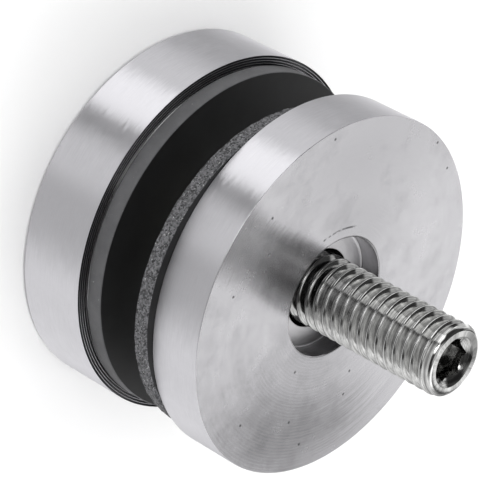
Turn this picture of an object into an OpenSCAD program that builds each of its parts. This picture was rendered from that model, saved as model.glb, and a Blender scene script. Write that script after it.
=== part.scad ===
// Glass panel standoff, 50 mm, for laminated glass on an M10 stud.
// It stands on the flat front face of its cap, with the stud pointing up (+Z).
// Lengths are in millimetres. The origin is the centre of the cap's front face.
// From the floor up: front cap, clamp disc inside it, front gasket, glass gap with
// the bush round the stud, base gasket, base disc, and the free end of the stud.

/* [Front cap] */
// Outside diameter of the cap
cap_d = 50.5; // [49:0.1:60]
// Wall of the cap outside its fine thread
cap_wall = 1.7; // [1.2:0.1:3]
// How far the cap's rim stays short of the clamp disc's face
cap_rim_setback = 0.45; // [0.2:0.05:1.5]
// Thickness of the cap's front wall
cap_floor = 2.1; // [1.5:0.1:3]
// Bevel at the mouth of the cap's bore
cap_mouth_bevel = 0.2; // [0.1:0.1:0.6]
// Spacing of the grooves turned into the cap's rim
rim_groove_pitch = 0.36; // [0.3:0.02:0.5]
// Depth of those grooves
rim_groove_depth = 0.2; // [0.1:0.05:0.4]
// Bevel round the cap's front face
cap_bevel = 0.5; // [0.2:0.1:1]

/* [Clamp disc] */
// Thickness of the clamp disc
clamp_t = 8.65; // [8.5:0.05:10]
// Bevel at the start of the fine thread
clamp_bevel = 0.5; // [0.2:0.1:1]
// Diameter of the two pin holes for a spanner
spanner_hole_d = 4.2; // [3:0.1:5]
// Depth of the spanner holes
spanner_hole_depth = 4; // [2:0.5:5]
// Circle on which the spanner holes lie
spanner_pcd = 30; // [24:1:36]

/* [Base disc] */
// Diameter of the disc that stands against the wall
base_d = 50; // [46:0.5:60]
// Thickness of the base disc
base_t = 7.65; // [6:0.05:10]
// Diameter of the recess in its outer face
counterbore_d = 16.7; // [14:0.1:20]
// Depth of that recess
counterbore_depth = 3.1; // [1:0.1:5]
// Clearance hole for the stud
stud_hole_d = 11; // [10.6:0.1:12]
// Broken edge on both faces of the base disc
base_edge = 0.15; // [0.05:0.05:0.5]

/* [Gaskets] */
// Diameter of the gasket on the clamp disc
front_gasket_d = 48.2; // [44:0.1:49]
// Thickness of the gasket on the clamp disc
front_gasket_t = 2.45; // [1:0.05:3]
// Diameter of the gasket on the base disc
base_gasket_d = 45.4; // [40:0.1:48]
// Thickness of the gasket on the base disc
base_gasket_t = 1.85; // [1:0.05:3]
// Hole through both gaskets
gasket_hole_d = 19; // [17:0.5:22]
// Rounding of the front gasket's edges
gasket_edge = 0.2; // [0.05:0.05:0.4]

/* [Glass] */
// Gap between the gaskets, for laminated glass
glass_gap = 8.75; // [6:0.05:14]
// Outside diameter of the bush in the glass hole
bush_d = 16; // [14:0.1:16.5]
// Bevel at the ends of the bush
bush_bevel = 0.4; // [0.1:0.1:0.8]

/* [Stud] */
// Thread diameter of the stud
stud_d = 10; // [8:0.5:10]
// Pitch of its thread
thread_pitch = 1.5; // [1:0.25:2]
// Length of the stud
stud_len = 50; // [45:5:70]
// Bevel at both ends of the stud
stud_bevel = 0.8; // [0.4:0.1:1.2]
// Hexagon socket, across its flats
hex_af = 5; // [3:0.5:5]
// Depth of the hexagon
hex_depth = 5; // [3:0.5:6]
// Diameter of the bevelled mouth of the socket
hex_mouth_d = 6.8; // [6.4:0.1:7.2]
// Angle from +X to a corner of the hexagon
hex_turn = -8; // [-30:1:30]

/* [Clearances] */
// Radial clearance of a thread or shaft in its hole
thread_clearance = 0.05; // [0.02:0.01:0.1]
// Gap between faces that turn on each other
turning_gap = 0.1; // [0.05:0.05:0.2]
// Gap left at a seat or round a loose piece
seat_gap = 0.3; // [0.2:0.05:0.4]

/* [Hidden] */
$fn = 128;
CUT = 1; // how far a cutting tool runs past a face

cap_r = cap_d / 2;
cap_bore_r = cap_r - cap_wall;
clamp_r = cap_bore_r - thread_clearance;
base_r = base_d / 2;
stud_r = stud_d / 2;
gasket_hole_r = gasket_hole_d / 2;

// Heights of the seats, from the cap's front face up
clamp_z = cap_floor + seat_gap;
clamp_top = clamp_z + clamp_t;
front_gasket_z = clamp_top + turning_gap;
glass_z = front_gasket_z + front_gasket_t;
base_gasket_z = glass_z + glass_gap;
base_z = base_gasket_z + base_gasket_t;
stud_top = clamp_z + stud_len;

// The cap's rim stops short of the gasket, and grooves fill its flat ring
cap_h = clamp_top - cap_rim_setback;
cap_mouth_r = cap_bore_r + cap_mouth_bevel;
rim_grooves = floor((cap_r - cap_mouth_r) / rim_groove_pitch);
rim_groove_w = 0.75 * rim_groove_pitch;

// The base gasket lies loose: it has slid sideways until it hangs on the stud
base_gasket_slip = gasket_hole_r - stud_r - seat_gap;

// A ring turned from its section: inner and outer radius, two heights, outer bevels
module turned_ring(inner_r, outer_r, low, high, low_bevel, high_bevel) {
    rotate_extrude()
        polygon([
            [inner_r, low],
            [outer_r - low_bevel, low],
            [outer_r, low + low_bevel],
            [outer_r, high - high_bevel],
            [outer_r - high_bevel, high],
            [inner_r, high]
        ]);
}

// A plain drill from one height to another, with room to spare at both ends
module drill(r, low, high) {
    translate([0, 0, low]) cylinder(r = r, h = high - low);
}

// A cone that breaks the edge of a hole of radius r, whose mouth at height z
// faces up, or down where faces_down is true
module hole_bevel(r, size, z, faces_down = false) {
    translate([0, 0, z])
        mirror([0, 0, faces_down ? 1 : 0])
            translate([0, 0, -size])
                cylinder(r1 = r, r2 = r + size + CUT, h = size + CUT);
}

// Cup with a fine inner thread, screwed over the clamp disc to hide it. Narrow V
// grooves run round its rim, from the outer edge inwards.
module front_cap() {
    color("silver")
        rotate_extrude()
            polygon([
                [0, 0],
                [cap_r - cap_bevel, 0],
                [cap_r, cap_bevel],
                [cap_r, cap_h],
                for (i = [1 : rim_grooves], p = [[1, 0], [0, 1], [-1, 0]])
                    [cap_r - (i - 0.5) * rim_groove_pitch + p[0] * rim_groove_w / 2,
                     cap_h - p[1] * rim_groove_depth],
                [cap_mouth_r, cap_h],
                [cap_bore_r, cap_h - cap_mouth_bevel],
                [cap_bore_r, cap_floor],
                [0, cap_floor]
            ]);
}

// Inner disc, tapped for the stud, with two spanner holes that the cap hides
module clamp_disc() {
    bore_r = stud_r + thread_clearance;
    color("gainsboro")
        difference() {
            turned_ring(bore_r, clamp_r, clamp_z, clamp_top, clamp_bevel, clamp_bevel);
            hole_bevel(bore_r, clamp_bevel, clamp_top);
            hole_bevel(bore_r, clamp_bevel, clamp_z, faces_down = true);
            for (side = [-1, 1])
                translate([side * spanner_pcd / 2, 0, 0])
                    drill(spanner_hole_d / 2, clamp_z - CUT, clamp_z + spanner_hole_depth);
        }
}

// Rubber ring between the clamp disc and the glass
module front_gasket() {
    color("dimgray")
        turned_ring(gasket_hole_r, front_gasket_d / 2,
                    front_gasket_z, glass_z, gasket_edge, gasket_edge);
}

// Plastic sleeve that keeps the stud off the edge of the hole in the glass
module glass_bush() {
    hole_r = stud_r + seat_gap;
    color("white")
        difference() {
            turned_ring(hole_r, bush_d / 2, front_gasket_z, base_gasket_z - seat_gap,
                        bush_bevel, bush_bevel);
            hole_bevel(hole_r, bush_bevel, base_gasket_z - seat_gap);
            hole_bevel(hole_r, bush_bevel, front_gasket_z, faces_down = true);
        }
}

// Rubber ring between the glass and the base disc, out of centre towards -Y
module base_gasket() {
    color("dimgray")
        translate([0, -base_gasket_slip, 0])
            turned_ring(gasket_hole_r, base_gasket_d / 2, base_gasket_z, base_z, 0, 0);
}

// Disc that stands against the wall, recessed round the stud
module base_disc() {
    top = base_z + base_t;
    color("silver")
        difference() {
            turned_ring(stud_hole_d / 2, base_r, base_z, top, base_edge, base_edge);
            drill(counterbore_d / 2, top - counterbore_depth, top + CUT);
            hole_bevel(counterbore_d / 2, base_edge, top);
        }
}

// Ridges with the section of a metric thread, from one height to another: crests an
// eighth of the pitch wide, roots a quarter, and flanks at 60 degrees to each other.
// They are rings, because a helix would turn every flank into many small facets.
module thread_rings(r, low, high) {
    depth = 0.6134 * thread_pitch;
    crest = thread_pitch / 8;
    flank = depth * tan(30);
    count = ceil((high - low) / thread_pitch) + 1;
    rotate_extrude()
        polygon([
            [0, low - thread_pitch],
            for (i = [0 : count], p = [
                [r - depth, -crest / 2 - flank],
                [r, -crest / 2],
                [r, crest / 2],
                [r - depth, crest / 2 + flank]
            ])
                [p[0], low + i * thread_pitch + p[1]],
            [0, low + count * thread_pitch + crest]
        ]);
}

// Threaded set screw with a hexagon socket in its free end
module stud() {
    hex_corner_r = hex_af / sqrt(3);
    mouth_r = hex_mouth_d / 2;
    mouth_depth = mouth_r - hex_af / 2;
    color("lightgray")
        difference() {
            intersection() {
                turned_ring(0, stud_r + CUT, clamp_z, stud_top, stud_bevel + CUT, stud_bevel + CUT);
                thread_rings(stud_r, clamp_z, stud_top);
            }
            translate([0, 0, stud_top - hex_depth])
                rotate([0, 0, hex_turn])
                    cylinder(r = hex_corner_r, h = hex_depth + CUT, $fn = 6);
            translate([0, 0, stud_top - mouth_depth])
                cylinder(r1 = hex_af / 2, r2 = mouth_r + CUT, h = mouth_depth + CUT);
            translate([0, 0, stud_top - hex_depth - hex_af / 4])
                cylinder(r1 = 0, r2 = hex_af / 2, h = hex_af / 4);
        }
}

front_cap();
clamp_disc();
front_gasket();
glass_bush();
base_gasket();
base_disc();
stud();
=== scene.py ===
# %% [markdown]
# # A glass panel standoff, dressed for the studio
# The part clamps a pane of glass between two steel discs on a threaded stud. Its
# solids come from the CAD frame at their true size and place. This script gives
# each piece the finish that the real one has, and models again the pieces whose
# threads, grooves and cut edges are too fine for the solids.

# %% Load the frame
import math

import bpy
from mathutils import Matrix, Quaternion, Vector


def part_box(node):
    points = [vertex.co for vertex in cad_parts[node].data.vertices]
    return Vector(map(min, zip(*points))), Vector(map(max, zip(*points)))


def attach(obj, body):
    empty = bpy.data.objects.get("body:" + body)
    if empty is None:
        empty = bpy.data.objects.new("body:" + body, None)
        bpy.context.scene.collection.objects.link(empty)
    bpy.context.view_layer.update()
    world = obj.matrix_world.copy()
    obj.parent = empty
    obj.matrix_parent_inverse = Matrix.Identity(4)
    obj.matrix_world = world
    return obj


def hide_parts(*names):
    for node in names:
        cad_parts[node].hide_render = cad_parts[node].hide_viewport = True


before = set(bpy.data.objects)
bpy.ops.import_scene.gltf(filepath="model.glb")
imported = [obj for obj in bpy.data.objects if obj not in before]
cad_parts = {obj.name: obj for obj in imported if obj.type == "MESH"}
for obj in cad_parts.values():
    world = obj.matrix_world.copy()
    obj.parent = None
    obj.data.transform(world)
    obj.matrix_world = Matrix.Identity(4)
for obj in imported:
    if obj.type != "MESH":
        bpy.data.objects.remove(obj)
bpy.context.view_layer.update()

MM = 0.001  # the frame is in metres, and this part is easier to think of in millimetres

# %% [markdown]
# ## The camera
# The part stands on its cap with the stud up, but it is looked at as if it lay on
# its side. So the camera looks down from 36 degrees and is rolled by 118 degrees,
# and a long lens keeps the perspective weak. A roll is easiest as a last turn
# about the camera's own line of sight.

# %% Camera
AIM = Vector((-1.552, -4.385, 19.830)) * MM
AZIMUTH, ELEVATION, ROLL = (math.radians(a) for a in (-17.77, 36.13, 118.52))
DISTANCE = 375.86 * MM
LENS, SENSOR_WIDTH = 208.58, 36

sight = Vector((
    -math.sin(AZIMUTH) * math.cos(ELEVATION),
    math.cos(AZIMUTH) * math.cos(ELEVATION),
    -math.sin(ELEVATION),
))
turn = sight.to_track_quat("-Z", "Y") @ Quaternion((0, 0, 1), ROLL)
bpy.ops.object.camera_add(location=AIM - DISTANCE * sight, rotation=turn.to_euler())
camera = bpy.context.active_object
camera.name = "studio_camera"
camera.data.lens = LENS
camera.data.sensor_width = SENSOR_WIDTH
scene = bpy.context.scene
scene.camera = camera
scene.view_settings.view_transform = "Standard"
print("camera at, in mm:", [round(c / MM, 1) for c in camera.location])

# %% [markdown]
# ## Colours and nodes
# Paint and plastic colours are chosen on a screen, so they are written as the hex
# values that a colour picker shows. Blender's shaders count light, so one function
# turns each value to linear. One more adds a node of any kind: it sets the node's
# options, types in its values, and links whatever is itself a node. The same few
# lines could be written out for each node, but a finish has dozens of them.


# %% Colours and nodes
def linear(hex_colour):
    """An sRGB colour such as "c8c9cb" as the linear RGBA that a shader takes."""
    levels = [int(hex_colour[i:i + 2], 16) / 255 for i in (0, 2, 4)]
    return [
        v / 12.92 if v <= 0.04045 else ((v + 0.055) / 1.055) ** 2.4 for v in levels
    ] + [1.0]


def add_node(tree, kind, *values, **settings):
    """Add a shader node, and return it.

    Values fill the node's inputs in order. A setting in small letters is an option of
    the node, and one with a capital is an input by its name. Inputs that the options
    put out of use don't count. A value that is a socket is linked, and a value that is
    a node is linked by its first output in use.
    """
    node = tree.nodes.new("ShaderNode" + kind)
    for name, value in settings.items():
        if name[0].islower():
            setattr(node, name, value)
    inputs = [socket for socket in node.inputs if socket.enabled]
    by_name = {socket.name: socket for socket in inputs}
    filled = list(zip(inputs, values)) + [
        (by_name[name.replace("_", " ")], value)
        for name, value in settings.items() if name[0].isupper()
    ]
    for socket, value in filled:
        if isinstance(value, bpy.types.Node):
            value = next(output for output in value.outputs if output.enabled)
        if isinstance(value, bpy.types.NodeSocket):
            tree.links.new(value, socket)
        else:
            socket.default_value = value
    return node


print("card white in linear light:", [round(v, 3) for v in linear("f4f4f4")])

# %% [markdown]
# ## Finishes and pieces
# A finish is a material of its own node tree. Some pieces wear several: a disc has a
# brushed rim and faced sides. Blender keeps a list of materials on the piece and a
# number on each face. Numbers are easy to mix up, so a piece is told which finish a
# face wears by a small function of where the face is.


# %% Finishes and pieces
def new_material(name):
    """An empty material, and its node tree."""
    material = bpy.data.materials.new(name)
    material.use_nodes = True
    tree = material.node_tree
    tree.nodes.clear()
    return material, tree


def dress(piece, *finishes, choose=None):
    """Give a piece its finishes. Every face wears the first, unless choose is given.

    choose takes the radius and the height of a face's middle, in millimetres, and
    returns the finish for that face.
    """
    piece.data.materials.clear()
    for finish in finishes:
        piece.data.materials.append(finish)
    if choose:
        for polygon in piece.data.polygons:
            radius, height = polygon.center.xy.length / MM, polygon.center.z / MM
            polygon.material_index = finishes.index(choose(radius, height))
    print(f"{piece.name} wears:", ", ".join(finish.name for finish in finishes))


# %% [markdown]
# ## The floor
# In a product studio the part stands on a sheet of matt white card. A curved sweep
# would hide the horizon, but from this height the camera sees nothing but floor, so
# one flat plane does. A white paint without gloss catches the soft shadow that sets
# the part on its floor. The card rides on the cap, which stands on it, so that no
# pose sinks the part into it. Seen from below it is clear, so the cap's front shows.

# %% Floor
CARD_SIZE = 4  # metres, so its edge is far away
CARD_DROP = 0.02 * MM  # a hair under the cap, so that card and cap don't share a plane

bpy.ops.object.select_all(action="DESELECT")
bpy.ops.mesh.primitive_plane_add(size=CARD_SIZE, location=(0, 0, -CARD_DROP))
floor = bpy.context.active_object
floor.name = "floor_card"
# matt card: next to no gloss, so it shows soft shadows and mirrors nothing
card, tree = new_material("matt white card")
coat = add_node(tree, "BsdfPrincipled", Base_Color=linear("f4f4f4"), Roughness=0.9)
clear = add_node(tree, "BsdfTransparent")
from_below = add_node(tree, "NewGeometry").outputs["Backfacing"]
both = add_node(tree, "MixShader", from_below, coat, clear)
add_node(tree, "OutputMaterial", both)
dress(floor, card)
floor.visible_glossy = False  # the metal mirrors the soft boxes that reach below its edge
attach(floor, "cap")

# %% [markdown]
# ## The room
# Bare metal shows little but the room round it, so the room decides how the steel
# looks. Soft boxes could be area lights or glowing cards, but each of those needs
# aiming and adds noise. Here the room is a world shader, which knows only direction:
# a soft box is a range of azimuth and height with faded edges, and the dark gaps
# between the boxes draw the dark bands on the steel.

# %% The room's lights, with all angles in degrees
ROOM_LEVEL = 0.07  # the light between the boxes
# A soft box: the azimuth of its middle, half its width, how far its side edges fade,
# how low and how high it reaches, and its light.
SOFT_BOXES = [
    (208, 13, 3, -49, 35, 2.05),
    (3, 13, 58, -47, 32, 1.25),
    (90, 30, 3, -70, 1, 0.83),
    (249, 7, 21, -71, 17, 1.0),
    (175, 8, 23, -50, 9, 1.45),
    (79, 10, 3, -30, 62, 1.4),
    (298, 17, 32, -73, 9, 0.92),
]
BOX_FADE = 20  # how far every soft box fades at its top and bottom
# A round light: its azimuth and elevation, half its width, its fade and its light. The
# fourth is straight overhead and whitens the discs when they are seen from above. The
# last two are small lamps that only the thread's flanks mirror towards the camera.
ROUND_LIGHTS = [
    (39, 52, 9, 14, 2.4),
    (240, 54, 9, 4, 4.7),
    (135, 0, 26, 4, 1.04),
    (0, 90, 10, 12, 0.9),
    (4, 54, 8, 6, 0.5),
    (110, 22, 9, 6, 0.6),
]
print(len(SOFT_BOXES), "soft boxes and", len(ROUND_LIGHTS), "round lights")

# %% The world's directions
world = bpy.data.worlds.new("studio")
world.use_nodes = True
scene.world = world
tree = world.node_tree
tree.nodes.clear()
towards = add_node(tree, "TexCoord").outputs["Generated"]
axes = add_node(tree, "SeparateXYZ", towards)
azimuth = add_node(tree, "Math", axes.outputs["Y"], axes.outputs["X"], operation="ARCTAN2")
height = add_node(tree, "Math", axes.outputs["Z"], operation="ARCSINE")
lights = []
print("made the world:", world.name)

# %% Soft boxes
for *angles, light in SOFT_BOXES:
    middle, half_width, fade, low, high, end_fade = map(math.radians, (*angles, BOX_FADE))
    off = add_node(tree, "Math", azimuth, middle, operation="SUBTRACT")
    off = add_node(tree, "Math", off, math.pi, -math.pi, operation="WRAP")
    off = add_node(tree, "Math", off, operation="ABSOLUTE")
    across = add_node(tree, "MapRange", off, half_width, half_width + fade, light, 0.0,
                      interpolation_type="SMOOTHSTEP")
    below_top = add_node(tree, "MapRange", height, high, high + end_fade, 1.0, 0.0,
                         interpolation_type="SMOOTHSTEP")
    above_foot = add_node(tree, "MapRange", height, low - end_fade, low, 0.0, 1.0,
                          interpolation_type="SMOOTHSTEP")
    upright = add_node(tree, "Math", below_top, above_foot, operation="MULTIPLY")
    lights.append(add_node(tree, "Math", across, upright, operation="MULTIPLY"))
print("lights so far:", len(lights))

# %% Round lights
for *angles, light in ROUND_LIGHTS:
    turn, lift, half_width, fade = map(math.radians, angles)
    aim = (math.cos(lift) * math.cos(turn), math.cos(lift) * math.sin(turn), math.sin(lift))
    near = add_node(tree, "VectorMath", towards, aim, operation="DOT_PRODUCT")
    off = add_node(tree, "Math", near, operation="ARCCOSINE")
    lights.append(add_node(tree, "MapRange", off, half_width, half_width + fade, light, 0.0,
                           interpolation_type="SMOOTHSTEP"))
print("lights so far:", len(lights))

# %% Room and backdrop
level = ROOM_LEVEL
for light in lights:
    level = add_node(tree, "Math", level, light, operation="ADD")
room = add_node(tree, "Background", Strength=level)
backdrop = add_node(tree, "Background", Color=linear("f2f2f2"))
seen = add_node(tree, "LightPath").outputs["Is Camera Ray"]
both = add_node(tree, "MixShader", seen, room, backdrop)
add_node(tree, "OutputWorld", both)
print("nodes in the world:", len(tree.nodes))

# %% [markdown]
# ## The overhead lamp
# The room alone leaves the card grey and the rubber black. A real studio adds a big
# soft box straight overhead for that, and so does this one: an area light, because
# it falls off with distance and throws a soft shadow. It is kept out of the metal's
# reflections, which already have the room.

# %% Overhead lamp
LAMP_PLACE, LAMP_SIZE = (0, -0.1, 0.8), 0.9  # metres
LAMP_WATTS, LAMP_TILT = 5.5, -7  # the tilt is in degrees

bpy.ops.object.light_add(type="AREA", location=LAMP_PLACE)
lamp = bpy.context.active_object
lamp.name = "overhead_soft_box"
lamp.data.size = LAMP_SIZE
lamp.data.energy = LAMP_WATTS
lamp.rotation_euler = (math.radians(LAMP_TILT), 0, 0)
lamp.visible_glossy = False
print("lamp energy in watts:", lamp.data.energy)

# %% [markdown]
# ## Steel from the lathe
# The discs are stainless steel. A lathe leaves grooves that run round the axis, too
# fine to be told apart, and they spread each highlight across themselves: a face
# shows bright fans round its centre, and a rim shows bright bars. Real grooves would
# take millions of faces. So the gloss is anisotropic, with its tangent round the
# axis, and a noise stretched the same way draws the streaks that the eye can find.
# One function makes all the lathe finishes, because they differ only in numbers.


# %% Coordinates of a turned piece
def lathe_lines(tree, place, along, across):
    """Coordinates that follow a lathe's marks: slow round the axis, fast across it.

    The direction from the axis gives no seam as it goes round, and the reach, which is
    radius and height added up, grows across the marks both on a face and on a rim.
    """
    flat = add_node(tree, "VectorMath", place, (1, 1, 0), operation="MULTIPLY")
    way = add_node(tree, "VectorMath", flat, operation="NORMALIZE")
    radius = add_node(tree, "VectorMath", flat, operation="LENGTH")
    height = add_node(tree, "SeparateXYZ", place).outputs["Z"]
    reach = add_node(tree, "Math", radius, height, operation="ADD")
    fine = add_node(tree, "Math", reach, across, operation="MULTIPLY")
    slow = add_node(tree, "VectorMath", way, along, operation="SCALE")
    up = add_node(tree, "CombineXYZ", Z=fine)
    lines = add_node(tree, "VectorMath", slow, up, operation="ADD")
    return lines, reach, radius


# %% [markdown]
# ## Wear on a faced disc
# The wall side of the standoff has been handled: faint stains, a few small pits, and
# a scratch where something scraped round the recess. Marks as fine as these need no
# mesh. They only have to swallow light, so each one is a number from 1, clean, down,
# and the steel's colour is multiplied by them all. A pattern's Scale counts its cells
# to the metre, so 280 makes them 3.6 mm wide.

# %% Wear on a faced disc
SCRATCH_R = 9.85  # mm, just outside the recess
SCRATCH_MIDDLE, SCRATCH_HALF = math.radians(-160), math.radians(18)
PIT_LIGHT, STAIN_LIGHT = 0.25, 0.84  # what a pit or scratch, and a stain, leave of the light


def face_wear(tree, place, radius):
    """The share of light that stains, pits and one broken scratch leave."""
    # one cell of 3.6 mm in eight has a pit, about 0.35 mm across
    cells = add_node(tree, "TexVoronoi", Vector=place, Scale=280.0, voronoi_dimensions="2D")
    lot = add_node(tree, "SeparateColor", cells.outputs["Color"])
    rare = add_node(tree, "Math", lot, 0.88, operation="GREATER_THAN")
    pit = add_node(tree, "MapRange", cells, 0.03, 0.07, 1.0, 0.0)
    pits = add_node(tree, "Math", pit, rare, operation="MULTIPLY")
    # the scratch is about 0.25 mm wide and broken every millimetre or so
    axes = add_node(tree, "SeparateXYZ", place)
    angle = add_node(tree, "Math", axes.outputs["Y"], axes.outputs["X"], operation="ARCTAN2")
    part = add_node(tree, "Math", angle, SCRATCH_MIDDLE, SCRATCH_HALF, operation="COMPARE")
    off = add_node(tree, "Math", radius, SCRATCH_R * MM, operation="SUBTRACT")
    off = add_node(tree, "Math", off, operation="ABSOLUTE")
    line = add_node(tree, "MapRange", off, 0.08 * MM, 0.17 * MM, 1.0, 0.0)
    gaps = add_node(tree, "TexNoise", Vector=place, Scale=900.0, Detail=2.0, Roughness=0.65)
    unbroken = add_node(tree, "MapRange", gaps, 0.42, 0.55)
    scratch = add_node(tree, "Math", line, part, operation="MULTIPLY")
    scratch = add_node(tree, "Math", scratch, unbroken, operation="MULTIPLY")
    marks = add_node(tree, "Math", pits, scratch, operation="MAXIMUM")
    marred = add_node(tree, "MapRange", marks, 0.0, 1.0, 1.0, PIT_LIGHT)
    # the stains are clouds of about 6 mm with ragged edges
    clouds = add_node(tree, "TexNoise", Vector=place, Scale=170.0, Detail=6.0, Roughness=0.6)
    stained = add_node(tree, "MapRange", clouds, 0.5, 0.72, 1.0, STAIN_LIGHT)
    return add_node(tree, "Math", stained, marred, operation="MULTIPLY")


# %% [markdown]
# ## The recipe for lathe steel
# Metal takes its colour from its own tint alone, and everything else is in how its
# surface lies. The streaks do two things here: they lighten and darken the tint a
# little, and they sway the surface along its groove, so that a highlight ends in a
# ragged edge as on real brushed steel. Rings from a facing tool are a bump on top.

# %% Finish: steel turned, faced and brushed
MIDDLE_HALF = (0.3, 0.7)  # a noise runs from 0 to 1, but nearly all of it lies in here
ACROSS = 0.25  # a quarter turn, which spreads the gloss across the grooves
FALL_FROM, FALL_TO = 13, 25  # the radii in mm between which a faced disc falls off
FALL = 0.5  # and by how much, in mm


def lathe_steel(name, colour, roughness, anisotropy, streak, contrast, sway, rings=None,
                worn=False):
    """Steel with streaks round the axis, of a (length, width) in mm at 25 mm radius.

    contrast is how far a streak departs from the tint, and sway how far it tilts the
    surface. The rings of a facing tool have a (pitch, depth) in mm. A worn disc has
    stains, pits and a scratch, and falls off towards its edge.
    """
    material, tree = new_material(name)
    place = add_node(tree, "TexCoord").outputs["Object"]
    length, width = streak
    lines, reach, radius = lathe_lines(tree, place, 25 / length, 1 / (width * MM))
    streaks = add_node(tree, "TexNoise", Vector=lines, Scale=1.0, Detail=3.0, Roughness=0.65)
    # clouds of about 3 mm make it a touch duller and darker here, brighter there
    blotch = add_node(tree, "TexNoise", Vector=place, Scale=300.0, Detail=5.0, Roughness=0.65)
    dull = add_node(tree, "MapRange", blotch, *MIDDLE_HALF, roughness - 0.02, roughness + 0.03)
    clouded = add_node(tree, "MapRange", blotch, *MIDDLE_HALF, 0.95, 1.04)
    streaked = add_node(tree, "MapRange", streaks, *MIDDLE_HALF, 1 - contrast, 1 + contrast)
    bright = add_node(tree, "Math", streaked, clouded, operation="MULTIPLY")
    grooves = add_node(tree, "Tangent", direction_type="RADIAL", axis="Z")
    lean = add_node(tree, "MapRange", streaks, 0.0, 1.0, -sway, sway)
    lean = add_node(tree, "VectorMath", grooves, lean, operation="SCALE")
    normal = add_node(tree, "NewGeometry").outputs["Normal"]
    relief = add_node(tree, "VectorMath", normal, lean, operation="ADD")
    relief = add_node(tree, "VectorMath", relief, operation="NORMALIZE")
    if rings:
        pitch, depth = rings
        rounds = add_node(tree, "Math", reach, math.tau / (pitch * MM), operation="MULTIPLY")
        ridges = add_node(tree, "Math", rounds, operation="SINE")
        relief = add_node(tree, "Bump", Height=ridges, Distance=depth / 2 * MM, Normal=relief)
    if worn:
        wear = face_wear(tree, place, radius)
        bright = add_node(tree, "Math", bright, wear, operation="MULTIPLY")
        # the facing tool was pushed away a little more the nearer it came to the edge
        fall = add_node(tree, "MapRange", radius, FALL_FROM * MM, FALL_TO * MM, FALL, 0.0,
                        interpolation_type="SMOOTHSTEP")
        relief = add_node(tree, "Bump", Height=fall, Distance=MM, Normal=relief)
    tint = add_node(tree, "VectorMath", linear(colour)[:3], bright, operation="SCALE")
    steel = add_node(tree, "BsdfPrincipled", Base_Color=tint, Metallic=1.0, Roughness=dull,
                     Anisotropic=anisotropy, Anisotropic_Rotation=ACROSS, Normal=relief,
                     Tangent=grooves)
    add_node(tree, "OutputMaterial", steel)
    print("made:", name)
    return material


# %% The finishes of the discs
# A belt sander leaves lines round the rim. Real ones are about 0.05 mm wide and are
# drawn 0.14 mm wide, so that they show: soft bright bars that end in a ragged edge.
brushed = lathe_steel(
    "stainless steel, brushed round the rim", "d7d6da", roughness=0.366, anisotropy=1.0,
    streak=(2.5, 0.14), contrast=0.035, sway=0.08)
# The facing tool moved about 0.2 mm a turn, drawn as 0.45 mm: fine rings that shimmer
# like a record, under stains, a few pits and a scratch.
faced = lathe_steel(
    "stainless steel, faced on the lathe", "c3c2c5", roughness=0.25, anisotropy=0.76,
    streak=(12, 0.3), contrast=0.015, sway=0.04, rings=(0.45, 0.0016), worn=True)
# The cap's front is the side that people see: faced like that, but clean and even.
satin = lathe_steel(
    "stainless steel, satin face", "d0cfd2", roughness=0.28, anisotropy=0.76,
    streak=(30, 0.3), contrast=0.03, sway=0.012, rings=(0.45, 0.001))
# The wall of the recess: a boring bar leaves it smoother, so it mirrors more sharply,
# and its darker grey is painted shade.
bored = lathe_steel(
    "stainless steel, bored, in painted shade", "9c9b9d", roughness=0.22, anisotropy=0.7,
    streak=(6, 0.2), contrast=0.12, sway=0.1, rings=(0.4, 0.001))
# The floor of the recess is milled, so it is flat, duller and the same from all sides,
# and its paler grey is painted light.
milled = lathe_steel(
    "stainless steel, milled, in painted light", "d8d7d9", roughness=0.4, anisotropy=0.2,
    streak=(6, 0.3), contrast=0.03, sway=0.05)
# Hidden faces and bores are left as the tool left them, with rings 0.3 mm apart.
turned_bare = lathe_steel(
    "stainless steel, turned and left bare", "c4c4c6", roughness=0.3, anisotropy=0.6,
    streak=(8, 0.3), contrast=0.05, sway=0.05, rings=(0.3, 0.003))
# Grooves 0.3 mm wide are rough, and their dark tint between the bright lands is painted shade.
grooved = lathe_steel(
    "stainless steel, rough grooves in painted shade", "6f6e71", roughness=0.45, anisotropy=0.3,
    streak=(4, 0.2), contrast=0.05, sway=0.05)

# %% [markdown]
# ## The rolled thread
# The stud's thread is rolled, not cut: hard dies press it into the bar. Its flanks
# come out nearly polished, so they mirror the room in sharp bands, and fine lines
# and scuffs run along the groove. Its roots are darkened with painted shade. Streaks
# that only circle the axis would cross a helix, so this pattern is laid out on the
# thread itself: one coordinate runs along the groove and the other from root to root.

# %% Coordinates of a thread
THREAD_PITCH = 1.5
SPARE_TURNS = 2  # the helix starts this many turns below the stud
THREAD_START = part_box("stud")[0].z / MM - SPARE_TURNS * THREAD_PITCH
print(f"at angle 0 a root of the thread is at height {THREAD_START:.2f} mm")


def thread_lines(tree, place, along, across):
    """Coordinates along a thread's groove and across it, and the way from its root.

    One turn is 1 along the groove, and one pitch is 1 across it.
    """
    axes = add_node(tree, "SeparateXYZ", place)
    angle = add_node(tree, "Math", axes.outputs["Y"], axes.outputs["X"], operation="ARCTAN2")
    turn = add_node(tree, "Math", angle, math.tau, operation="DIVIDE")
    rise = add_node(tree, "Math", axes.outputs["Z"], THREAD_START * MM, operation="SUBTRACT")
    rise = add_node(tree, "Math", rise, THREAD_PITCH * MM, operation="DIVIDE")
    climb = add_node(tree, "Math", rise, turn, operation="SUBTRACT")
    run = add_node(tree, "Math", climb, operation="FLOOR")
    run = add_node(tree, "Math", run, turn, operation="ADD")
    side = add_node(tree, "Math", climb, operation="FRACT")
    run = add_node(tree, "Math", run, along, operation="MULTIPLY")
    from_side = add_node(tree, "Math", side, across, operation="MULTIPLY")
    lines = add_node(tree, "CombineXYZ", run, from_side)
    from_root = add_node(tree, "Math", side, 0.5, operation="PINGPONG")
    return lines, from_root
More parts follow.
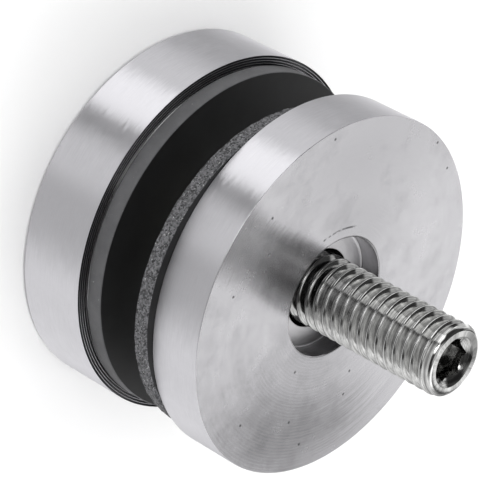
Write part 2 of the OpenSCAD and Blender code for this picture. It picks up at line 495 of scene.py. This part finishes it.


# %% Finish: rolled thread
# Nearly a mirror, so the eye sees a sharp bright band on each flank and dark roots,
# which are darkened further with painted shade.
rolled, tree = new_material("stainless steel, thread rolled bright")
place = add_node(tree, "TexCoord").outputs["Object"]
# one turn is 29 mm long and one pitch 1.5 mm wide, so streaks are about 3 by 0.1 mm
lines, from_root = thread_lines(tree, place, along=10, across=14)
streaks = add_node(tree, "TexNoise", Vector=lines, Scale=1.0, Detail=3.0, Roughness=0.7,
                   noise_dimensions="2D")
# dents and scuffs of about 1 mm, from other studs in the same box, are a little duller
scuff = add_node(tree, "TexNoise", Vector=place, Scale=900.0, Detail=4.0, Roughness=0.65)
dull = add_node(tree, "MapRange", scuff, 0.35, 0.7, 0.07, 0.15)
lined = add_node(tree, "MapRange", streaks, *MIDDLE_HALF, 0.55, 1.2)
# painted shade takes up to 0.6 of the light, from the root out to a fifth of the pitch
root_shade = add_node(tree, "MapRange", from_root, 0.04, 0.2, 0.4, 1.0,
                 interpolation_type="SMOOTHSTEP")
bright = add_node(tree, "Math", lined, root_shade, operation="MULTIPLY")
tint = add_node(tree, "VectorMath", linear("cacac9")[:3], bright, operation="SCALE")
relief = add_node(tree, "Bump", Height=streaks, Distance=0.004 * MM)
scuffed = add_node(tree, "Bump", Height=scuff, Distance=0.007 * MM, Normal=relief)
metal = add_node(tree, "BsdfPrincipled", Base_Color=tint, Metallic=1.0, Roughness=dull,
                 Normal=scuffed)
add_node(tree, "OutputMaterial", metal)
print("made:", rolled.name)

# %% [markdown]
# ## Rubber
# Both gaskets are EPDM, a black rubber that stands the weather. Its pressed skin is
# matt, with a faint cloudy bloom, and painted darker for the shade between the discs.
# Both edges are painted paler for the light that falls on them: the moulded edge is
# smoother, and an edge cut with a knife is torn into crumbs. Crumbs could be
# sculpted, but at a quarter of a millimetre a cell pattern with a bump does.


# %% Finish: rubber
def rubber(name, dark, light, speck, speck_share, roughness, relief_depth, crumbs=False):
    """Matt rubber from dark to light, in clouds of 3 mm or in crumbs of 0.2 mm.

    Pale specks cover what the share leaves of it, and its grain is 0.3 mm wide and as
    deep as relief_depth, in millimetres.
    """
    material, tree = new_material(name)
    place = add_node(tree, "TexCoord").outputs["Object"]
    if crumbs:
        cells = add_node(tree, "TexVoronoi", Vector=place, Scale=4500.0)
        share = add_node(tree, "SeparateColor", cells.outputs["Color"])
    else:
        cloud = add_node(tree, "TexNoise", Vector=place, Scale=300.0, Detail=4.0,
                         Roughness=0.6)
        share = add_node(tree, "MapRange", cloud, 0.35, 0.7)
    shade = add_node(tree, "Mix", share, linear(dark), linear(light), data_type="RGBA")
    grain = add_node(tree, "TexNoise", Vector=place, Scale=3200.0, Detail=3.0, Roughness=0.7)
    specks = add_node(tree, "MapRange", grain, speck_share, speck_share + 0.05)
    coat = add_node(tree, "Mix", specks, shade, linear(speck), data_type="RGBA")
    relief = add_node(tree, "Bump", Height=grain, Distance=relief_depth * MM)
    body = add_node(tree, "BsdfPrincipled", Base_Color=coat, Roughness=roughness, IOR=1.5,
                    Normal=relief)
    add_node(tree, "OutputMaterial", body)
    print("made:", name)
    return material


# the flat sides: nearly black as the rubber is, and painted darker still for the shade
# in the gap, with a dull sheen at a low angle
skin = rubber(
    "EPDM rubber, pressed skin, painted shade", "121213", "1b1b1c", "38383a",
    speck_share=0.70, roughness=0.55, relief_depth=0.004)
# the front ring's edge: an even mid grey of painted light, for the light that falls on it
lit_moulded_edge = rubber(
    "EPDM rubber, moulded edge in painted light", "545456", "636365", "969698",
    speck_share=0.68, roughness=0.7, relief_depth=0.01)
# the base ring's edge: crumbs from nearly black to pale grey, like sandpaper, and paler
# than the skin as painted light
cut_edge = rubber(
    "EPDM rubber, cut edge, crumbs and painted light", "29292a", "77777a", "c8c8c8",
    speck_share=0.64, roughness=0.9, relief_depth=0.04, crumbs=True)

# %% [markdown]
# ## Nylon
# The bush round the stud is moulded from white nylon, a slightly cloudy plastic with
# a soft sheen. Light does pass a little way into it, but in the dark gap between the
# gaskets that can't be seen, so a plain gloss with two noises is enough: one clouds
# the white and the other gives the fine texture of the mould.

# %% Finish: nylon
# A soft, slightly warm white: clouds of 2.5 mm in it, and a mould texture of 0.2 mm.
nylon, tree = new_material("nylon, moulded white")
place = add_node(tree, "TexCoord").outputs["Object"]
cloud = add_node(tree, "TexNoise", Vector=place, Scale=400.0, Detail=3.0)
shade = add_node(tree, "Mix", cloud, linear("dcdad2"), linear("efeee8"), data_type="RGBA")
fine = add_node(tree, "TexNoise", Vector=place, Scale=6000.0, Detail=2.0)
relief = add_node(tree, "Bump", Height=fine, Distance=0.003 * MM)
body = add_node(tree, "BsdfPrincipled", Base_Color=shade, Roughness=0.42, IOR=1.53,
                Normal=relief)
add_node(tree, "OutputMaterial", body)
print("made:", nylon.name)

# %% [markdown]
# ## How a lathe's work is modelled
# Nearly every piece here was turned: discs, rings and the stud are round about one
# axis. A cylinder could be cut step by step, but a lathe works from a section, and
# so do these helpers. One starts from a small plane merged to a point and pulls an
# outline out of it edge by edge. The other spins such an outline once round.

# %% Drawing an outline
MERGE = 1e-6  # metres: points closer than a thousandth of a millimetre are one


def start_clean():
    """Back to object mode with nothing selected, so that no operator hits too much."""
    if bpy.context.mode != "OBJECT":
        bpy.ops.object.mode_set(mode="OBJECT")
    bpy.ops.object.select_all(action="DESELECT")


def take(piece):
    """Select this piece alone, for the operators that follow."""
    start_clean()
    piece.select_set(True)
    bpy.context.view_layer.objects.active = piece


def draw_line(name, points):
    """A new piece that is a line through points (x, z) in millimetres, in edit mode."""
    start_clean()
    x, z = points[0]
    bpy.ops.mesh.primitive_plane_add(size=MM, location=(x * MM, 0, z * MM))
    bpy.ops.object.transform_apply(location=True)
    piece = bpy.context.active_object
    piece.name = piece.data.name = name
    bpy.ops.object.mode_set(mode="EDIT")
    bpy.ops.mesh.select_mode(type="VERT")
    bpy.ops.mesh.merge(type="CENTER")
    for (x0, z0), (x1, z1) in zip(points, points[1:]):
        step = ((x1 - x0) * MM, 0, (z1 - z0) * MM)
        bpy.ops.mesh.extrude_region_move(TRANSFORM_OT_translate={"value": step})
    return piece


# %% Spinning an outline
def close_up():
    """Merge points that meet, turn every face outwards and leave edit mode."""
    bpy.ops.mesh.select_all(action="SELECT")
    bpy.ops.mesh.remove_doubles(threshold=MERGE)
    bpy.ops.mesh.normals_make_consistent(inside=False)
    bpy.ops.object.mode_set(mode="OBJECT")


def turned(name, section, steps):
    """Spin a half section, given as (radius, height) in millimetres, about the Z axis.

    The section of a solid runs from axis to axis. That of a ring is closed here, by
    going back to its first point.
    """
    is_ring = section[0][0] > 0
    piece = draw_line(name, [*section, section[0]] if is_ring else section)
    bpy.ops.mesh.select_all(action="SELECT")
    bpy.ops.mesh.spin(steps=steps, angle=math.tau, center=(0, 0, 0), axis=(0, 0, 1))
    close_up()
    return piece


# %% Shading and measuring a piece
def soften(piece, angle):
    """Smooth shading over edges gentler than the angle, crisp over sharper ones."""
    take(piece)
    bpy.ops.object.shade_smooth_by_angle(angle=math.radians(angle))


def report(piece):
    """Print a piece's box in millimetres and how many triangles it has."""
    corners = [Vector(c) / MM for c in piece.bound_box]
    triangles = sum(len(p.vertices) - 2 for p in piece.data.polygons)
    low, high = corners[0], corners[6]
    print(f"{piece.name}: {[round(c, 2) for c in low]} to {[round(c, 2) for c in high]},"
          f" {triangles} triangles")


# %% [markdown]
# ## The base disc
# This is the disc that stands against the wall: bar stock turned to 50 mm, faced,
# drilled for the stud and bored out round it. It could be a cylinder cut by two
# others, but every edge here is just broken, and one spun section gives those edges
# their true roundness. Short straights beside each rounding keep its smooth shading
# from spreading over the flat face. Its faces wear four finishes, told apart by place.

# %% Base disc
HOLE_R, COUNTERBORE_R, DISC_R = 5.5, 8.35, 25.0
COUNTERBORE_DEPTH = 3.1
BROKEN = 0.06  # the bevel of an edge that is just broken
# Roundings as steps away from a sharp corner: outwards and down at the recess's mouth,
# inwards and up at its floor. Each begins and ends with a short straight.
MOUTH_ROUND = [(0.25, 0), (0.15, 0), (0.08, 0.02), (0.02, 0.08), (0, 0.15), (0, 0.25)]
FLOOR_ROUND = [(0, 0.4), (0, 0.3), (0.05, 0.14), (0.14, 0.05), (0.3, 0), (0.4, 0)]

base_low, base_high = (corner.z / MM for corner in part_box("base_disc"))
recess_floor = base_high - COUNTERBORE_DEPTH
base_disc = turned("base_disc_turned", [
    (HOLE_R, base_low), (DISC_R - BROKEN, base_low), (DISC_R, base_low + BROKEN),
    (DISC_R, base_high - BROKEN), (DISC_R - BROKEN, base_high),
    *[(COUNTERBORE_R + out, base_high - down) for out, down in MOUTH_ROUND],
    *[(COUNTERBORE_R - inwards, recess_floor + up) for inwards, up in FLOOR_ROUND],
    (HOLE_R + BROKEN, recess_floor), (HOLE_R, recess_floor - BROKEN),
], steps=256)
soften(base_disc, 20)
report(base_disc)


# %% Finishes and body of the base disc
def base_finish(radius, height):
    """Brushed rim, faced sides, a bored recess wall in painted shade and a milled floor in
    painted light.

    The limits leave a little room, so that a rounding goes with the wall beside it.
    """
    if radius > DISC_R - 0.1:
        return brushed
    if radius > COUNTERBORE_R + 0.2 or height < base_low + 0.1:
        return faced
    return milled if abs(height - recess_floor) < 0.15 else bored


dress(base_disc, faced, brushed, bored, milled, choose=base_finish)
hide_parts("base_disc")
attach(base_disc, "base")

# %% [markdown]
# ## Fine threads as rings
# The cap screws onto the clamp disc by a thread of 1 mm pitch. At that size a helix
# can't be told from a row of rings, and rings can be part of the section that is
# spun. Each groove has the 60 degree flanks of a metric thread.

# %% Threaded walls
FINE_PITCH, FINE_DEPTH = 1.0, 0.55
# a groove's section: shares of the pitch along the wall, and of the depth into it
GROOVE = [(-0.44, 0), (-0.12, 1), (0.12, 1), (0.44, 0)]


def ridged(radius, start, end, pitch, depth):
    """Section points along a wall from one height to another, grooved by a thread."""
    way = math.copysign(1, end - start)
    count = int(abs(end - start) / pitch - 0.2)  # both ends keep a little plain wall
    first = (start + end - way * pitch * (count - 1)) / 2
    points = [(radius, start)]
    for i in range(count):
        middle = first + way * pitch * i
        for offset, share in GROOVE:
            points.append((radius + share * depth, middle + way * offset * pitch))
    print(f"thread of {count} grooves at radius {radius}")
    return points + [(radius, end)]


# %% [markdown]
# ## The front cap
# The cap is a cup turned from the same bar. It hides the clamp disc, so its bore has
# the fine thread. Four narrow grooves run round its rim and show as dark lines. A
# bump could fake them from afar, but they are cut into the section, because a groove
# this deep hides its own floor when it is seen from the side.

# %% Grooves in the cap's rim
CAP_R, BORE_R = 25.25, 23.55
RING_COUNT, RING_PITCH, RING_DEPTH, RING_HALF_WIDTH = 4, 0.36, 0.45, 0.15
# a ring's section: shares of its half width, from outside in, and of its depth
RING = [(1, 0), (0.3, 1), (-0.3, 1), (-1, 0)]

cap_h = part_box("front_cap")[1].z / MM
rim_rings = []
for i in range(RING_COUNT):
    middle = CAP_R - (i + 0.5) * RING_PITCH
    rim_rings += [(middle + side * RING_HALF_WIDTH, cap_h - depth * RING_DEPTH)
                  for side, depth in RING]
print("rings from radius", rim_rings[0][0], "in to", round(rim_rings[-1][0], 2))

# %% Front cap
CAP_BEVEL, MOUTH_BEVEL = 0.5, 0.2
CAP_FLOOR, THREAD_FLOOR = 2.1, 3.2  # heights inside: the bottom, and where the thread ends

front_cap = turned("front_cap_turned", [
    (0, 0), (CAP_R - CAP_BEVEL, 0), (CAP_R, CAP_BEVEL), (CAP_R, cap_h), *rim_rings,
    (BORE_R + MOUTH_BEVEL, cap_h),
    *ridged(BORE_R, cap_h - MOUTH_BEVEL, THREAD_FLOOR, FINE_PITCH, FINE_DEPTH),
    (BORE_R, CAP_FLOOR), (0, CAP_FLOOR),
], steps=256)
soften(front_cap, 20)
report(front_cap)


# %% Finishes and body of the cap
def cap_finish(radius, height):
    """Brushed outside, satin in front, painted shade in the rim's grooves and bare inside."""
    if height < 0.01:
        return satin
    if radius < BORE_R + MOUTH_BEVEL:
        return turned_bare
    in_groove = cap_h - RING_DEPTH - 0.01 < height < cap_h - 0.01
    return grooved if in_groove and radius < CAP_R - 0.01 else brushed


dress(front_cap, brushed, turned_bare, grooved, satin, choose=cap_finish)
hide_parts("front_cap")
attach(front_cap, "cap")

# %% [markdown]
# ## The clamp disc
# Under the cap sits the disc that presses the glass. It has the fine thread outside,
# an M10 thread inside and two blind holes for a pin spanner. The threads come from
# its section. The spanner holes lie off the axis, so they can't: a drill shape with
# its countersink is spun for each hole and cut away by a Boolean.


# %% Helpers that change a piece
def apply_modifier(piece, kind, **settings):
    """Add a modifier with these settings and apply it."""
    take(piece)
    modifier = piece.modifiers.new(kind.lower(), kind)
    for name, value in settings.items():
        setattr(modifier, name, value)
    bpy.ops.object.modifier_apply(modifier=modifier.name)


def shift(piece, step):
    """Move a piece's mesh by a step in millimetres. Its object stays at the origin."""
    take(piece)
    bpy.ops.object.mode_set(mode="EDIT")
    bpy.ops.mesh.select_all(action="SELECT")
    bpy.ops.transform.translate(value=[d * MM for d in step])
    bpy.ops.object.mode_set(mode="OBJECT")


def cut(piece, tool, operation):
    """Join, trim or cut a piece with a tool piece, which is then thrown away."""
    apply_modifier(piece, "BOOLEAN", object=tool, operation=operation, solver="EXACT")
    bpy.data.objects.remove(tool)


# %% Clamp disc
CLAMP_R, TAP_R, CLAMP_BEVEL = 23.5, 5.05, 0.5
TAP_DEPTH = 0.85

clamp_low, clamp_high = (corner.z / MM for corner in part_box("clamp_disc"))
wall_low, wall_high = clamp_low + CLAMP_BEVEL, clamp_high - CLAMP_BEVEL
clamp_disc = turned("clamp_disc_threaded", [
    *ridged(CLAMP_R, wall_low, wall_high, FINE_PITCH, -FINE_DEPTH),
    (CLAMP_R - CLAMP_BEVEL, clamp_high), (TAP_R + CLAMP_BEVEL, clamp_high),
    *ridged(TAP_R, wall_high, wall_low, THREAD_PITCH, TAP_DEPTH),
    (TAP_R + CLAMP_BEVEL, clamp_low), (CLAMP_R - CLAMP_BEVEL, clamp_low),
], steps=192)
report(clamp_disc)

# %% Spanner holes
SPANNER_R, SPANNER_DEPTH, SPANNER_OUT = 2.1, 4, 15  # SPANNER_OUT is from the axis
SINK = 0.4  # depth of the countersink
CLEAR = 1  # how far the drill reaches past the face

for side in (-1, 1):
    drill = turned("spanner_drill", [
        (0, clamp_low - CLEAR), (SPANNER_R + SINK + CLEAR, clamp_low - CLEAR),
        (SPANNER_R, clamp_low + SINK), (SPANNER_R, clamp_low + SPANNER_DEPTH),
        (0, clamp_low + SPANNER_DEPTH),
    ], steps=48)
    shift(drill, (side * SPANNER_OUT, 0, 0))
    cut(clamp_disc, drill, "DIFFERENCE")
soften(clamp_disc, 20)
dress(clamp_disc, turned_bare)
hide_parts("clamp_disc")
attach(clamp_disc, "clamp")
report(clamp_disc)

# %% [markdown]
# ## The threaded stud
# The stud is the part that takes the eye, so its M10 thread is a true helix. One
# pitch of its rounded profile is drawn as a line and wound up by a Screw modifier,
# past both ends, where two cuts close it. The profile has extra points near crest and
# root, so that only the roundings shade smoothly and the flanks stay flat mirrors.

# %% Profile of the thread
# heights above a root and radii, in millimetres, over one pitch
THREAD = [
    (0.0, 4.07), (0.08, 4.075), (0.14, 4.11), (0.18, 4.18), (0.21, 4.23), (0.61, 4.92),
    (0.64, 4.965), (0.67, 4.99), (0.72, 5.0), (0.78, 5.0), (0.83, 4.99), (0.86, 4.965),
    (0.89, 4.92), (1.29, 4.23), (1.32, 4.18), (1.36, 4.11), (1.42, 4.075),
    (THREAD_PITCH, 4.07),
]
stud_low, stud_high = (corner.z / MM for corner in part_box("stud"))
print(f"{len(THREAD) - 1} edges in one pitch of {THREAD_PITCH} mm")

# %% Thread of the stud
TURN_STEPS = 72
SPARE = 0.4  # how far the screw reaches past the stud's ends, where the blank trims it

stud = draw_line("stud_threaded", [(r, THREAD_START + z) for z, r in THREAD])
turns = math.ceil((stud_high - THREAD_START) / THREAD_PITCH) + SPARE_TURNS
apply_modifier(stud, "SCREW", axis="Z", angle=math.tau, screw_offset=THREAD_PITCH * MM,
               iterations=turns, steps=TURN_STEPS, render_steps=TURN_STEPS,
               use_merge_vertices=True, merge_threshold=MERGE)
take(stud)
bpy.ops.object.mode_set(mode="EDIT")
for height, cut_below in ((stud_low - SPARE, True), (stud_high + SPARE, False)):
    bpy.ops.mesh.select_all(action="SELECT")
    bpy.ops.mesh.bisect(plane_co=(0, 0, height * MM), plane_no=(0, 0, 1), use_fill=True,
                        clear_inner=cut_below, clear_outer=not cut_below)
close_up()
report(stud)

# %% [markdown]
# ## The stud's ends and socket
# A thread can't end square: the bar was rounded over before it was rolled, and its
# last millimetre is smooth. The free end has a hexagon socket for a key, drilled and
# then pressed to shape. All of that is in a blank, spun without its thread, with the
# hexagon and the drill's point cut out. Where thread and blank overlap is the stud.

# %% Blank of the stud
# the ends are rounded over like an arch: radii, and depths below the end
ROUND = [(5.06, 1.0), (4.99, 0.68), (4.85, 0.4), (4.66, 0.18), (4.43, 0.04), (4.2, 0)]
MOUTH_R, FLAT_R = 3.4, 2.5  # the socket's bevelled mouth, and half its hexagon's flats
MOUTH_LIP, LIP_DEPTH = 0.12, 0.07  # its edge is rubbed off by the key

mouth_floor = stud_high - MOUTH_R + FLAT_R
blank = turned("stud_blank", [
    (0, stud_low), *[(r, stud_low + depth) for r, depth in reversed(ROUND)],
    *[(r, stud_high - depth) for r, depth in ROUND],
    (MOUTH_R + MOUTH_LIP, stud_high), (MOUTH_R, stud_high - LIP_DEPTH),
    (FLAT_R, mouth_floor), (0, mouth_floor),
], steps=96)
report(blank)

# %% Hexagon of the socket
SOCKET_DEPTH, PUNCH_LENGTH = 5, 6
# A six-sided cylinder starts with a corner on +Y, and the socket has one at -8 degrees.
# With no window, rotate turns the other way, so this turns it by +22 degrees.
PUNCH_TURN = -22

start_clean()
bpy.ops.mesh.primitive_cylinder_add(
    vertices=6, radius=2 * FLAT_R / math.sqrt(3) * MM, depth=PUNCH_LENGTH * MM,
    location=(0, 0, (stud_high - SOCKET_DEPTH + PUNCH_LENGTH / 2) * MM))
punch = bpy.context.active_object
punch.name = "hexagon_punch"
bpy.ops.object.transform_apply(location=True)
bpy.ops.object.mode_set(mode="EDIT")
bpy.ops.mesh.select_all(action="SELECT")
bpy.ops.transform.rotate(value=math.radians(PUNCH_TURN), orient_axis="Z",
                         center_override=(0, 0, 0))
bpy.ops.object.mode_set(mode="OBJECT")
corners = {round(math.degrees(math.atan2(v.co.y, v.co.x))) for v in punch.data.vertices}
print("corners of the hexagon at", sorted(corners))
cut(blank, punch, "DIFFERENCE")

# %% Drill point at the bottom of the socket
DRILL_R, POINT_HEIGHT = 2.4, 1.2
drill_floor = stud_high - SOCKET_DEPTH - 0.05  # a hair deeper than the hexagon
drill_top = stud_high - SOCKET_DEPTH + 1  # up inside the hexagon

drill = turned("drill_point", [
    (0, drill_floor - POINT_HEIGHT), (DRILL_R, drill_floor), (DRILL_R, drill_top),
    (0, drill_top),
], steps=48)
cut(blank, drill, "DIFFERENCE")
report(blank)

# %% Smooth tip, and the blank's trim
TIP_R, TIP_LENGTH = 4.78, 1.3  # the smooth end of the bar, under the arch
RUN_OUT_R, RUN_OUT = 4.3, 0.5  # the cone in which the last groove fades

tip_low = stud_high - TIP_LENGTH
tip_high = stud_high + 0.3  # past the end, where the blank trims it
tip = turned("stud_tip", [
    (0, tip_low - RUN_OUT), (RUN_OUT_R, tip_low - RUN_OUT), (TIP_R, tip_low),
    (TIP_R, tip_high), (0, tip_high),
], steps=96)
cut(stud, tip, "UNION")
cut(stud, blank, "INTERSECT")
soften(stud, 30)
dress(stud, rolled)
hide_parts("stud")
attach(stud, "stud")
report(stud)

# %% [markdown]
# ## The front gasket
# Two rubber rings keep steel off glass. The front one is moulded, so its edges are
# evenly round. Its section could hold those roundings, but a Bevel modifier on a plain
# turned ring gives all four at once, with one width to change.

# %% Front gasket
GASKET_HOLE_R, EDGE_ROUND = 9.5, 0.2

gasket_low, gasket_high = (corner.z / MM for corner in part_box("front_gasket"))
gasket_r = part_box("front_gasket")[1].x / MM
front_gasket = turned("front_gasket_moulded", [
    (GASKET_HOLE_R, gasket_low), (gasket_r, gasket_low), (gasket_r, gasket_high),
    (GASKET_HOLE_R, gasket_high),
], steps=256)
apply_modifier(front_gasket, "BEVEL", width=EDGE_ROUND * MM, segments=4,
               limit_method="ANGLE", angle_limit=math.radians(40))
soften(front_gasket, 40)
edge_r = gasket_r - 0.15  # beyond this radius a face belongs to the moulded edge
dress(front_gasket, skin, lit_moulded_edge,
      choose=lambda radius, height: lit_moulded_edge if radius > edge_r else skin)
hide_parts("front_gasket")
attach(front_gasket, "seal")
report(front_gasket)

# %% [markdown]
# ## The base gasket
# The ring at the wall is cut from sheet with a knife, and it has slid sideways until
# it hangs on the stud. Its edge is a little ragged. That could be bump alone, but the
# edge stands against a pale disc and its outline shows, so the mesh has fine rows
# there and a Displace modifier moves them. It only ever pushes inwards, so the ring
# never grows.

# %% Base gasket
ROWS = 9  # of faces up its edge
EDGE_BAND = 0.6  # only the faces this close to the edge move with it

low_corner, high_corner = (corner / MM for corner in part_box("base_gasket"))
sheet_low, sheet_high = low_corner.z, high_corner.z
sheet_r = (high_corner.x - low_corner.x) / 2
slip = (low_corner.y + high_corner.y) / 2
base_gasket = turned("base_gasket_cut", [
    (GASKET_HOLE_R, sheet_low), (sheet_r - EDGE_BAND, sheet_low),
    *[(sheet_r, sheet_low + (sheet_high - sheet_low) * i / ROWS) for i in range(ROWS + 1)],
    (sheet_r - EDGE_BAND, sheet_high), (GASKET_HOLE_R, sheet_high),
], steps=600)
report(base_gasket)

# %% Its torn edge
KNIFE_MARKS = [(1.6, 0.22), (0.35, 0.12)]  # how wide and how deep the knife tore, in mm

edge_group = base_gasket.vertex_groups.new(name="cut_edge")
outermost = [v.index for v in base_gasket.data.vertices
             if v.co.xy.length > (sheet_r - 0.05) * MM]
edge_group.add(outermost, 1.0, "REPLACE")
for width, depth in KNIFE_MARKS:
    marks = bpy.data.textures.new("knife_marks", "CLOUDS")
    marks.noise_scale = width * MM
    apply_modifier(base_gasket, "DISPLACE", texture=marks, strength=depth * MM,
                   mid_level=1.0, direction="NORMAL", vertex_group="cut_edge")
soften(base_gasket, 50)
edge_r = sheet_r - 0.4  # a face beyond this radius was cut, however deep the knife tore it
dress(base_gasket, skin, cut_edge,
      choose=lambda radius, height: cut_edge if radius > edge_r else skin)
shift(base_gasket, (0, slip, 0))
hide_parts("base_gasket")
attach(base_gasket, "base")
report(base_gasket)

# %% [markdown]
# ## The bush
# A white plastic sleeve keeps the stud off the edge of the hole in the glass. The CAD
# shape is right as it is, so it stays and only gets its finish: a moulded nylon with
# a soft sheen and a slightly cloudy skin.

# %% Bush
dress(bpy.data.objects["glass_bush"], nylon)
